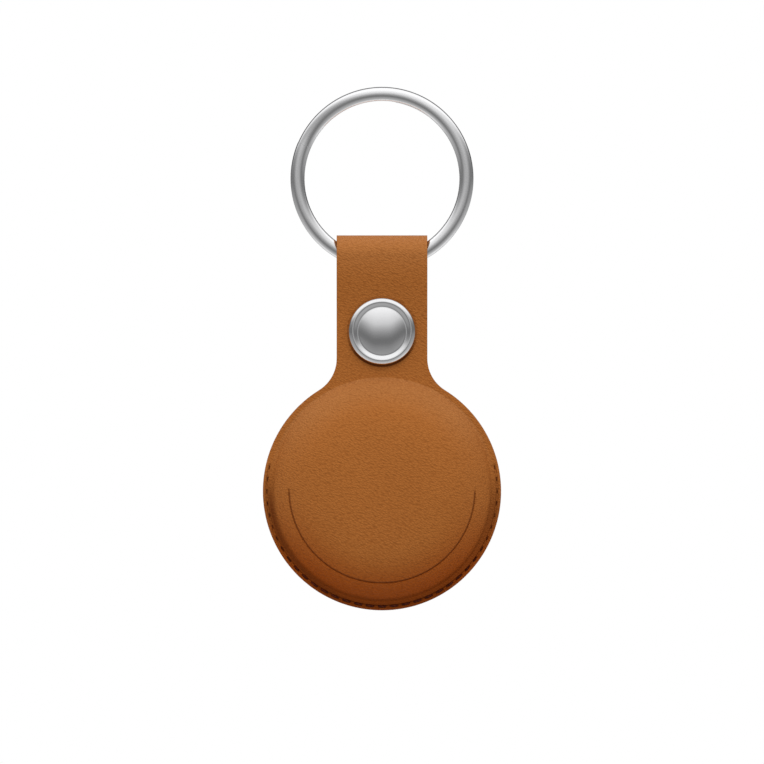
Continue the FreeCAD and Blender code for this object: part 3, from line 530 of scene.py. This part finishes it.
front_in = 3.85
front_off = 1.6
front_edge = 4.9
front_crease = 0.3
crease_rise = LEATHER + front_crease
front_foot = FRONT_CENTRE + math.sqrt((front_edge + front_crease) ** 2 - crease_rise ** 2)
wall_angle = math.degrees(math.atan2(crease_rise, front_foot - FRONT_CENTRE))
groove_lip = 1.5
groove_bed = 0.5
start = (0, -(TAG_RISE + front_off))
runs = [
    (0, DOME_CENTRE, DOME_ANGLE, 16),
    (FRONT_CENTRE, 0, SCORE_ANGLE - groove_lip - DOME_ANGLE, 10),
    (FRONT_CENTRE, 0, groove_lip - groove_bed, 1),
    (FRONT_CENTRE, 0, 2 * groove_bed, 2),
    (FRONT_CENTRE, 0, groove_lip - groove_bed, 1),
    (FRONT_CENTRE, 0, 90 - wall_angle - SCORE_ANGLE - groove_lip, 18),
    (front_foot, -crease_rise, wall_angle - 90, 8),
]
runs += [(r, -y * LEATHER) for r, y in flange]
runs += [
    (FRONT_CENTRE + front_in, 0),
    (FRONT_CENTRE, 0, DOME_ANGLE - 90, 16),
    (0, DOME_CENTRE, -DOME_ANGLE, 8),
]
front = spun(start, runs, 0, 360)


def ease(value, low, high):
    """0 under a low value and 1 over a high one, smoothly between them."""
    share = min(1.0, max(0.0, (value - low) / (high - low)))
    return share * share * (3 - 2 * share)


pillow_top = 5.878
pillow_edge = 17.434
pillow_curve = 188.2
pillow_drop = 2.87
pillow_shoulder = 17.215
pillow_power = 6.2
groove_depth = 0.14
least_swell = 0.45
more_swell = 0.3
drawn_radius = FRONT_CENTRE + front_edge * math.sin(math.radians(SCORE_ANGLE))
for vertex in front.verts:
    from_centre = math.hypot(vertex.co.x, vertex.co.z)
    beyond = math.hypot(max(0.0, from_centre - FRONT_CENTRE), vertex.co.y)
    if vertex.co.y > -0.9 or beyond < (4.85 if from_centre > FRONT_CENTRE else 4.75):
        continue
    upper = max(0.0, vertex.co.z / from_centre) if from_centre else 0.0
    groove = groove_depth if abs(from_centre - drawn_radius) < 0.06 and vertex.co.z < 0 else 0.0
    shifted = ease(from_centre, 8, 14.9) * (1 - ease(from_centre, 15.5, 17.3))
    shrink = 1 - shifted * (drawn_radius - SCORE_RADIUS) / drawn_radius
    flange_end = SEAM_RADIUS - CHANNEL_SIDE + 0.59 * upper
    if from_centre < front_foot + 0.01:
        spread = ease(from_centre, 14.5, 17.3)
    else:
        spread = max(0.0, (flange_end - from_centre) / (flange_end - front_foot))
    swell = spread * (least_swell + more_swell * upper * (1 + upper)) / max(1.0, from_centre)
    vertex.co.x *= shrink
    vertex.co.z = vertex.co.z * shrink + shifted * (SCORE_HEIGHT - POCKET_HEIGHT)
    if from_centre < pillow_edge:
        from_centre = math.hypot(vertex.co.x, vertex.co.z)
        sunk = pillow_drop * (from_centre / pillow_shoulder) ** pillow_power
        vertex.co.y = from_centre ** 2 / pillow_curve + sunk - pillow_top + groove
    vertex.co.x *= 1 + swell
    vertex.co.z *= 1 + swell

through = front.verts.layers.float.new("through")
for vertex in front.verts:
    vertex[through] = -vertex.co.y / LEATHER
end = [
    face for face in front.faces
    if min(math.hypot(v.co.x, v.co.z) for v in face.verts) > PANEL_RADIUS - 0.01
    and math.atan2(abs(face.calc_center_median().x), face.calc_center_median().z) < math.radians(NECK_ANGLE)
]
hip_side = STRAP_SIDE + NECK_RADIUS
hip = (hip_side, math.sqrt((PANEL_RADIUS + NECK_RADIUS) ** 2 - hip_side ** 2))
hip_turn = math.degrees(math.atan2(hip[1], hip[0]))
sag = {}
for vertex in {vertex for face in end for vertex in face.verts}:
    across = vertex.co.x / (PANEL_RADIUS * math.sin(math.radians(NECK_ANGLE)))
    deepest = PANEL_RADIUS * (1 - math.cos(math.radians(NECK_ANGLE)))
    sag[round(across, 3)] = (PANEL_RADIUS - vertex.co.z) / deepest
neck_rows = 12


def drawn_on(mesh, end):
    """Draw the end faces of a strap on by one row. Gives the new end faces and their vertices."""
    edges = {edge for face in end for edge in face.edges}
    made = bmesh.ops.extrude_face_region(mesh, geom=end + list(edges))["geom"]
    faces = [part for part in made if isinstance(part, bmesh.types.BMFace)]
    return faces, [part for part in made if isinstance(part, bmesh.types.BMVert)]


width = PANEL_RADIUS * math.sin(math.radians(NECK_ANGLE))
for row in range(1, neck_rows + 1):
    share = row / neck_rows
    angle = math.radians(180 + hip_turn * (1 - share))
    side = (hip[0] + NECK_RADIUS * math.cos(angle), hip[1] + NECK_RADIUS * math.sin(angle))
    middle = PANEL_RADIUS + (hip[1] - PANEL_RADIUS) * share
    end, row_verts = drawn_on(front, end)
    for vertex in row_verts:
        across = vertex.co.x / width
        vertex.co.x = across * side[0]
        vertex.co.z = middle - (middle - side[1]) * sag[round(across, 3)]
    width = side[0]


def strap_on(mesh, end, way, steps):
    """Run a strap straight on from its end faces."""
    for _ in range(steps):
        end, row_verts = drawn_on(mesh, end)
        bmesh.ops.translate(mesh, vec=[part / steps for part in way], verts=row_verts)
    return end


def strap_round(mesh, end, y, z, angle, steps):
    """Bend a strap on from its end faces, about a line across it."""
    edges = {edge for face in end for edge in face.edges}
    verts = {vertex for face in end for vertex in face.verts}
    made = bmesh.ops.spin(
        mesh, geom=end + list(edges) + list(verts), cent=(0, y, z), axis=(1, 0, 0),
        angle=math.radians(angle), steps=steps)
    return [part for part in made["geom_last"] if isinstance(part, bmesh.types.BMFace)]


lean_height = SWING_HEIGHT - STRAP_FLAT_TOP
bend_depth = BEND_RADIUS + STRAP_FORWARD
slope = math.hypot(bend_depth, lean_height)
lean = math.asin((LOOP_RADIUS + BEND_RADIUS) / slope) - math.atan2(bend_depth, lean_height)
run = math.sqrt(slope ** 2 - (LOOP_RADIUS + BEND_RADIUS) ** 2)
end = strap_on(front, end, (0, 0, STRAP_FLAT_TOP - hip[1]), 24)
end = strap_round(front, end, -BEND_RADIUS, STRAP_FLAT_TOP, math.degrees(lean), 10)
end = strap_on(front, end, (0, -run * math.sin(lean), run * math.cos(lean)), 10)
end = strap_round(front, end, STRAP_FORWARD, SWING_HEIGHT, -180 - math.degrees(lean), 56)
end = strap_on(front, end, (0, 0, -0.1), 1)

skived = 0.33
skive_start = 85
skive_end = 178
curve_start = 27
loop_reach = LOOP_RADIUS + LEATHER - skived - STRAP_FORWARD
for vertex in front.verts:
    height = vertex.co.z
    if height < curve_start:
        continue
    y, z = vertex.co.y - STRAP_FORWARD, height - SWING_HEIGHT
    if height < SWING_HEIGHT and y < 0:
        face = -LEATHER - (loop_reach - LEATHER) * ease(height, curve_start, SWING_HEIGHT - 1)
        vertex.co.y = face if vertex[through] > 0.5 else min(vertex.co.y, face + LEATHER)
    elif vertex[through] > 0.5:
        turned = math.degrees(math.atan2(z, -y)) % 360
        shrink = 1 - skived * (1 - ease(turned, skive_start, skive_end)) / math.hypot(y, z)
        vertex.co.y = STRAP_FORWARD + y * shrink
        vertex.co.z = SWING_HEIGHT + z * shrink
front.verts.layers.float.remove(through)
bmesh.ops.recalc_face_normals(front, faces=front.faces)
bmesh.ops.translate(front, vec=(0, 0, POCKET_HEIGHT), verts=front.verts)
cut_edges(front, lambda edge: reach(edge.verts[0]) > 19)
press_stitch_channel(front)
front_leather = piece("front_leather", front, [leather, edge_paint])
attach(front_leather, "holder")
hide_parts("front_panel")

# Seam: waxed dark brown thread in a lockstitch round the lower part of the pocket, through both
# flanges. Each stitch rises out of its hole, lies in the channel and dives into the next hole.

STITCH_COUNT = 35
STITCH_ANGLE = 6.0
THREAD_RADIUS = 0.17
SIDE_NARROW = 0.45
SIDE_SINK = 0.27

waxed_thread, paint, sockets = finish("waxed_thread", {"Specular IOR Level": 0.15})
place = object_place(paint)
plies = paint.node(
    "ShaderNodeTexWave", {"bands_direction": "DIAGONAL"},
    {"Vector": place, "Scale": 900.0, "Distortion": 1.5, "Detail": 2.0}, "Fac")
paint.feed(sockets["Base Color"], tint(paint, plies, (0.034, 0.004, 0.001), (0.080, 0.010, 0.002)))
paint.feed(sockets["Roughness"], 0.42 + 0.18 * noise(paint, place, 0.2))
paint.feed(sockets["Normal"], relief(paint, plies, 0.04))

thread = bmesh.new()
crown = -(LEATHER - CHANNEL_DEPTH + 0.19)
bow = 0.85
bow_angle = 44
bmesh.ops.create_circle(thread, segments=10, radius=THREAD_RADIUS)
bmesh.ops.rotate(thread, verts=thread.verts, cent=(0, 0, 0), matrix=Matrix.Rotation(math.radians(90), 3, "Y"))
bmesh.ops.translate(thread, vec=(0, crown, -SEAM_RADIUS), verts=thread.verts)
hinge_line = (0, crown + bow, -SEAM_RADIUS)
half_bow = Matrix.Rotation(math.radians(-bow_angle), 3, "Z")
bmesh.ops.rotate(thread, verts=thread.verts, cent=hinge_line, matrix=half_bow)
bmesh.ops.spin(
    thread, geom=thread.verts[:] + thread.edges[:], cent=hinge_line, axis=(0, 0, 1),
    angle=math.radians(2 * bow_angle), steps=9)
bmesh.ops.mirror(thread, geom=thread.verts[:] + thread.edges[:] + thread.faces[:], merge_dist=0.0, axis="Y")
seam_turn = (STITCH_COUNT - 1) * STITCH_ANGLE
bmesh.ops.rotate(
    thread, verts=thread.verts, cent=(0, 0, 0), matrix=Matrix.Rotation(math.radians(seam_turn / 2), 3, "Y"))
bmesh.ops.spin(
    thread, geom=thread.verts[:] + thread.edges[:] + thread.faces[:], cent=(0, 0, 0), axis=(0, -1, 0),
    angle=math.radians(seam_turn), steps=STITCH_COUNT - 1, use_duplicate=True)
bmesh.ops.holes_fill(thread, edges=[edge for edge in thread.edges if edge.is_boundary], sides=10)
for vertex in thread.verts:
    pulled_in = ease(vertex.co.z / SEAM_RADIUS, -0.95, -0.3)
    narrow = 1 - SIDE_NARROW * pulled_in * (1 - SEAM_RADIUS / math.hypot(vertex.co.x, vertex.co.z))
    vertex.co.x *= narrow
    vertex.co.z *= narrow
    vertex.co.y -= math.copysign(SIDE_SINK * pulled_in, vertex.co.y)
bmesh.ops.recalc_face_normals(thread, faces=thread.faces)
bmesh.ops.translate(thread, vec=(0, 0, POCKET_HEIGHT), verts=thread.verts)
stitches = piece("seam_stitches", thread, [waxed_thread])
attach(stitches, "holder")
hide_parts("seam_thread")

# Front half of the press snap: a pressed cap on the strap's face, the eyelet post that rivets it
# through the leather, and behind it the socket with a ring spring. Nickel-plated steel.

nickel, paint, sockets = finish("polished_nickel", {"Metallic": 1.0})
place = object_place(paint)
smears = noise(paint, place, 2.5)
scuffs = noise(paint, place, 0.25, 6.0)
paint.feed(sockets["Base Color"], tint(paint, smears, (0.80, 0.80, 0.81), (0.84, 0.84, 0.85)))
paint.feed(sockets["Roughness"], 0.08 + 0.08 * scuffs)
paint.feed(sockets["Normal"], relief(paint, scuffs, 0.002))

cap_face = -LEATHER
cap_crown = cap_face - 1.6
cap_rim = (
    (4.0, 0.985), (4.08, 1.0), (4.35, 1.108), (4.55, 1.193), (4.66, 1.229), (4.76, 1.244), (4.84, 1.240),
    (4.92, 1.220), (5.05, 1.165), (5.20, 1.084), (5.34, 1.0), (5.41, 0.92), (5.46, 0.77), (5.47, 0.6),
    (5.47, 0.15), (5.41, 0.04), (5.25, 0), (4.95, 0), (4.95, 0.5), (0, 0.5),
)
runs = [(0, cap_crown + 12.975, 17.49, 28)] + [(r, cap_face - rise) for r, rise in cap_rim]
cap = spun((0, cap_crown), runs, SNAP_HEIGHT, 200)
snap_cap = piece("pressed_cap", cap, [nickel])
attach(snap_cap, "holder")
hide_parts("snap_cap")

post = spun((1.25, cap_face - 0.4), [
    (4.9, cap_face - 0.4), (4.9, cap_face), (1.7, cap_face), (1.7, 0.4), (2.3, 0.4), (2.3, 0.7), (1.25, 0.7),
    (1.25, cap_face - 0.4),
], SNAP_HEIGHT, 96)
soften(post, corners(post), 0.1)
cap_post = piece("cap_post", post, [nickel])
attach(cap_post, "holder")
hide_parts("snap_cap_post")

cup = spun((1.75, 0), [
    (4.75, 0), (4.75, 0.4), (3.6, 0.8), (3.6, 2.955), (3.35, 3.205), (2.65, 3.205), (2.65, 2.955),
    (2.95, 2.955), (2.95, 0.4), (1.75, 0.4), (1.75, 0),
], SNAP_HEIGHT, 96)
soften(cup, corners(cup), 0.07)
socket = piece("snap_cup", cup, [nickel])
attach(socket, "holder")
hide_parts("snap_socket")

spring_wire = mottled(
    "drawn_spring_wire", (0.48, 0.48, 0.50), (0.58, 0.58, 0.60), 0.3, (0.20, 0.32), 0.003, {"Metallic": 1.0})
clip = bmesh.new()
bmesh.ops.create_circle(clip, cap_ends=True, segments=16, radius=0.42)
bmesh.ops.translate(clip, vec=(2.35, 2.505, 0), verts=clip.verts)
bmesh.ops.spin(
    clip, geom=clip.verts[:] + clip.edges[:] + clip.faces[:], cent=(0, 0, 0), axis=(0, 1, 0),
    angle=math.radians(300), steps=75)
bmesh.ops.recalc_face_normals(clip, faces=clip.faces)
soften(clip, corners(clip, 60), 0.1)
bmesh.ops.translate(clip, vec=(0, 0, SNAP_HEIGHT), verts=clip.verts)
ring_spring = piece("ring_spring", clip, [spring_wire])
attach(ring_spring, "holder")
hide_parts("snap_spring")

# Rear flap: the strap's tail behind the ring, cut round at its end. It is the same leather as the
# loop and bends where the loop ends, so that it folds away from the strap when the snap opens.

flap_front = STRAP_FORWARD + LOOP_RADIUS
flap_back = flap_front + LEATHER
flap_top = POCKET_HEIGHT + SWING_HEIGHT
flap_end = SNAP_HEIGHT - 6.2
flap_corner = 4.5
tail = bmesh.new()
tip = bmesh.ops.create_vert(tail, co=(STRAP_SIDE, flap_front, flap_top))["vert"][0]
tip = bmesh.ops.extrude_vert_indiv(tail, verts=[tip])["verts"][0]
tip.co.z = flap_end + flap_corner
tip = bmesh.ops.spin(
    tail, geom=[tip], cent=(STRAP_SIDE - flap_corner, 0, tip.co.z), axis=(0, 1, 0), angle=math.radians(90),
    steps=20)["geom_last"][0]
tip = bmesh.ops.extrude_vert_indiv(tail, verts=[tip])["verts"][0]
tip.co.x = 0
bmesh.ops.mirror(tail, geom=tail.verts[:] + tail.edges[:], merge_dist=0.001, axis="X")
top = [vertex for vertex in tail.verts if vertex.co.z > flap_top - 0.01]
bmesh.ops.contextual_create(tail, geom=top)
bmesh.ops.contextual_create(tail, geom=tail.edges[:])
made = bmesh.ops.extrude_face_region(tail, geom=tail.faces[:], use_keep_orig=True)["geom"]
outer = [part for part in made if isinstance(part, bmesh.types.BMVert)]
bmesh.ops.translate(tail, vec=(0, LEATHER, 0), verts=outer)
bmesh.ops.recalc_face_normals(tail, faces=tail.faces)
cut_edges(tail, lambda edge: min(v.co.z for v in edge.verts) < flap_top - 0.01)
for step in range(1, 13):
    bmesh.ops.bisect_plane(
        tail, geom=tail.verts[:] + tail.edges[:] + tail.faces[:], plane_co=(0, 0, flap_top - 0.25 * step),
        plane_no=(0, 0, 1), dist=0.0001)
for vertex in tail.verts:
    lap = 0.02 * ease(vertex.co.z, flap_top - 0.6, flap_top - 0.2)
    vertex.co.y += math.copysign(lap, vertex.co.y - flap_front - LEATHER / 2)
    vertex.co.x += lap * vertex.co.x / STRAP_SIDE
rear_leather = piece("rear_leather", tail, [leather, edge_paint])
fold_depth = (LOOP_RADIUS + LEATHER / 2) / 1000
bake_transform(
    rear_leather, "holder", "flap", start=(0, fold_depth, flap_top / 1000 - 0.0001),
    end=(0, fold_depth, flap_top / 1000 - 0.0016))
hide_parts("rear_flap")

# Rear half of the press snap: the stud on the flap's inner face, which clicks into the ring
# spring, and the domed rivet that holds it from behind. Nickel-plated steel.

button = spun((0, 0.75), [
    (1.5, 0.75), (2.12, 2.01), (2.12, 2.11), (1.85, 2.26), (1.85, flap_front - 0.4), (4.4, flap_front - 0.4),
    (4.4, flap_front), (1.2, flap_front), (1.2, 0.9), (0, 0.9),
], SNAP_HEIGHT, 96)
soften(button, corners(button), 0.05)
stud = piece("snap_button", button, [nickel])
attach(stud, "flap")
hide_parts("snap_stud")

rivet_tip = 0.95
rivet_head = (
    (4.42, 0), (4.5, 0.06), (4.5, 0.14), (4.4, 0.209), (3.9, 0.25), (3.2, 0.299), (2.4, 0.343), (1.6, 0.375),
    (0.8, 0.394), (0, 0.4),
)
runs = [(1.15, rivet_tip), (1.15, flap_back)] + [(r, flap_back + rise) for r, rise in rivet_head]
rivet = spun((0, rivet_tip), runs, SNAP_HEIGHT, 160)
rear_rivet = piece("rear_rivet", rivet, [nickel])
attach(rear_rivet, "flap")
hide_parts("snap_rear_post")

# Split ring: spring steel wire of an oval section, wound in two turns that lie one behind the
# other, with a jog between them and both ends cut square, then plated and polished.

RING_RADIUS = 13.85
WIRE_SIDE = 1.15
WIRE_DEPTH = 0.525
TURN_OFFSET = 0.75
RING_START = 157
JOG_ANGLE = 70

ring_steel, paint, sockets = finish("plated_ring_steel", {"Metallic": 1.0})
place = object_place(paint)
smears = noise(paint, place, 3.0)
scuffs = noise(paint, place, 0.3, 6.0)
paint.feed(sockets["Base Color"], tint(paint, smears, (0.91, 0.91, 0.92), (0.95, 0.95, 0.96)))
paint.feed(sockets["Roughness"], 0.08 + 0.10 * scuffs)
paint.feed(sockets["Normal"], relief(paint, scuffs, 0.002))

coil = bmesh.new()
bmesh.ops.create_circle(coil, cap_ends=True, segments=32, radius=1.0)
bmesh.ops.scale(coil, vec=(WIRE_SIDE, WIRE_DEPTH, 1.0), verts=coil.verts)
bmesh.ops.translate(coil, vec=(RING_RADIUS, -TURN_OFFSET, 0), verts=coil.verts)
bmesh.ops.rotate(
    coil, verts=coil.verts, cent=(0, 0, 0), matrix=Matrix.Rotation(math.radians(-RING_START), 3, "Y"))
section = coil.verts[:] + coil.edges[:] + coil.faces[:]


def wind(mesh, section, angle, steps, shift=0.0):
    """Wind the wire on by an angle, moving back by a shift."""
    return bmesh.ops.spin(
        mesh, geom=section, cent=(0, 0, 0), axis=(0, -1, 0), dvec=(0, shift / steps, 0),
        angle=math.radians(angle), steps=steps)["geom_last"]


section = wind(coil, section, 290, 145)
jog_steps = 35
eased = [ease(step, 0, jog_steps) for step in range(jog_steps + 1)]
for before, after in zip(eased, eased[1:]):
    section = wind(coil, section, JOG_ANGLE / jog_steps, 1, 2 * TURN_OFFSET * (after - before))
wind(coil, section, 283, 141)
bmesh.ops.recalc_face_normals(coil, faces=coil.faces)
soften(coil, corners(coil, 60), 0.02, 1)
key_ring = piece("key_ring", coil, [ring_steel], forward=0)
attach(key_ring, "ring")
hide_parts("split_ring")

# Studio: a small pale floor well below the hanging holder, and two soft round lamps above it, the
# stronger one in front and the weaker behind. The surround is white to the camera, and polished
# metal sees it darken low down, where the room's own floor would be.

floor = bmesh.new()
bmesh.ops.create_circle(floor, cap_ends=True, segments=96, radius=0.12)
bmesh.ops.translate(floor, vec=(0, 0, -0.35), verts=floor.verts)
floor_data = bpy.data.meshes.new("studio_floor")
floor.to_mesh(floor_data)
floor.free()
floor_paint, paint, sockets = finish("pale_floor", {"Roughness": 0.9, "Specular IOR Level": 0.1})
grain = noise(paint, object_place(paint), 6.0)
paint.feed(sockets["Base Color"], tint(paint, grain, (0.78, 0.78, 0.78), (0.82, 0.82, 0.82)))
floor_data.materials.append(floor_paint)
studio_floor = bpy.data.objects.new("studio_floor", floor_data)
bpy.context.scene.collection.objects.link(studio_floor)


def soft_lamp(name, size, energy, place, tilt):
    """A round soft lamp, which polished metal does not mirror."""
    light = bpy.data.lights.new(name, "AREA")
    light.shape = "DISK"
    light.size = size
    light.energy = energy
    lamp = bpy.data.objects.new(name, light)
    lamp.location = place
    lamp.rotation_euler = (math.radians(tilt), 0, 0)
    lamp.visible_glossy = False
    bpy.context.scene.collection.objects.link(lamp)


soft_lamp("key_lamp", 0.35, 1.2, (0.0, -0.45, 0.42), 45)
soft_lamp("rear_lamp", 0.4, 0.3, (0.0, 0.45, 0.42), -45)

world = bpy.data.worlds.new("white_studio")
world.use_nodes = True
bpy.context.scene.world = world
paint = Shade(world.node_tree)
surround = world.node_tree.nodes["Background"]
surround.inputs["Strength"].default_value = 1.1
way = paint.node("ShaderNodeTexCoord", {}, {}, "Generated")
side = paint.node("ShaderNodeSeparateXYZ", {}, {0: way}, "X")
rise = paint.node("ShaderNodeSeparateXYZ", {}, {0: way}, "Z")
depth = paint.node("ShaderNodeSeparateXYZ", {}, {0: way}, "Y")
camera_ray = paint.node("ShaderNodeLightPath", {}, {}, "Is Camera Ray")
glossy_ray = paint.node("ShaderNodeLightPath", {}, {}, "Is Glossy Ray")
clear_ray = paint.node("ShaderNodeLightPath", {}, {}, "Is Transmission Ray")
aside = (1 - band(paint, abs(side), 0.14, 0.71)) * band(paint, rise, 0.2, 0.7)
away = (1 - band(paint, depth, -0.4, -0.05)) * (1 - band(paint, rise, 0.0, 0.3))
gradient = paint.node("ShaderNodeValToRGB", {"stops": [
    (0.0, 0.72), (0.03, 0.64), (0.1, 0.47), (0.18, 0.36), (0.243, 0.31), (0.308, 0.235), (0.345, 0.17),
    (0.393, 0.16), (0.443, 0.22), (0.492, 0.32), (0.544, 0.46), (0.592, 0.64), (0.688, 0.82), (0.78, 0.99),
    (1.0, 1.0),
]}, {0: 0.5 * (rise - 0.3 * aside - 0.03 * side) + 0.5})
mirrored = gradient * (1 - 0.85 * away)
cast = 0.63 + 0.52 * rise
paint.feed(surround.inputs["Color"], mirrored * glossy_ray + cast * (1 - glossy_ray))
backdrop = (1 - band(paint, depth, 0.95, 0.995)) * glossy_ray
shown = paint.math("MAXIMUM", paint.math("MAXIMUM", camera_ray, clear_ray), backdrop)
white = paint.node("ShaderNodeBackground", {}, {"Color": (1.0, 1.0, 1.0, 1.0), "Strength": 1.0})
lit = Shade(world.node_tree, surround.outputs[0])
mixed = paint.node("ShaderNodeMixShader", {}, {0: shown, 1: lit, 2: white})
paint.feed(world.node_tree.nodes["World Output"].inputs["Surface"], mixed)

lens = bpy.data.cameras.new("photo_camera")
lens.sensor_width = 36.0
lens.lens = 344.8
camera = bpy.data.objects.new("photo_camera", lens)
view_distance = 1.2
view_height = -0.03337
camera.location = (0, -view_distance, view_height)
camera.rotation_euler = (math.radians(90), 0, 0)
bpy.context.scene.collection.objects.link(camera)
bpy.context.scene.camera = camera
bpy.context.scene.view_settings.view_transform = "Standard"
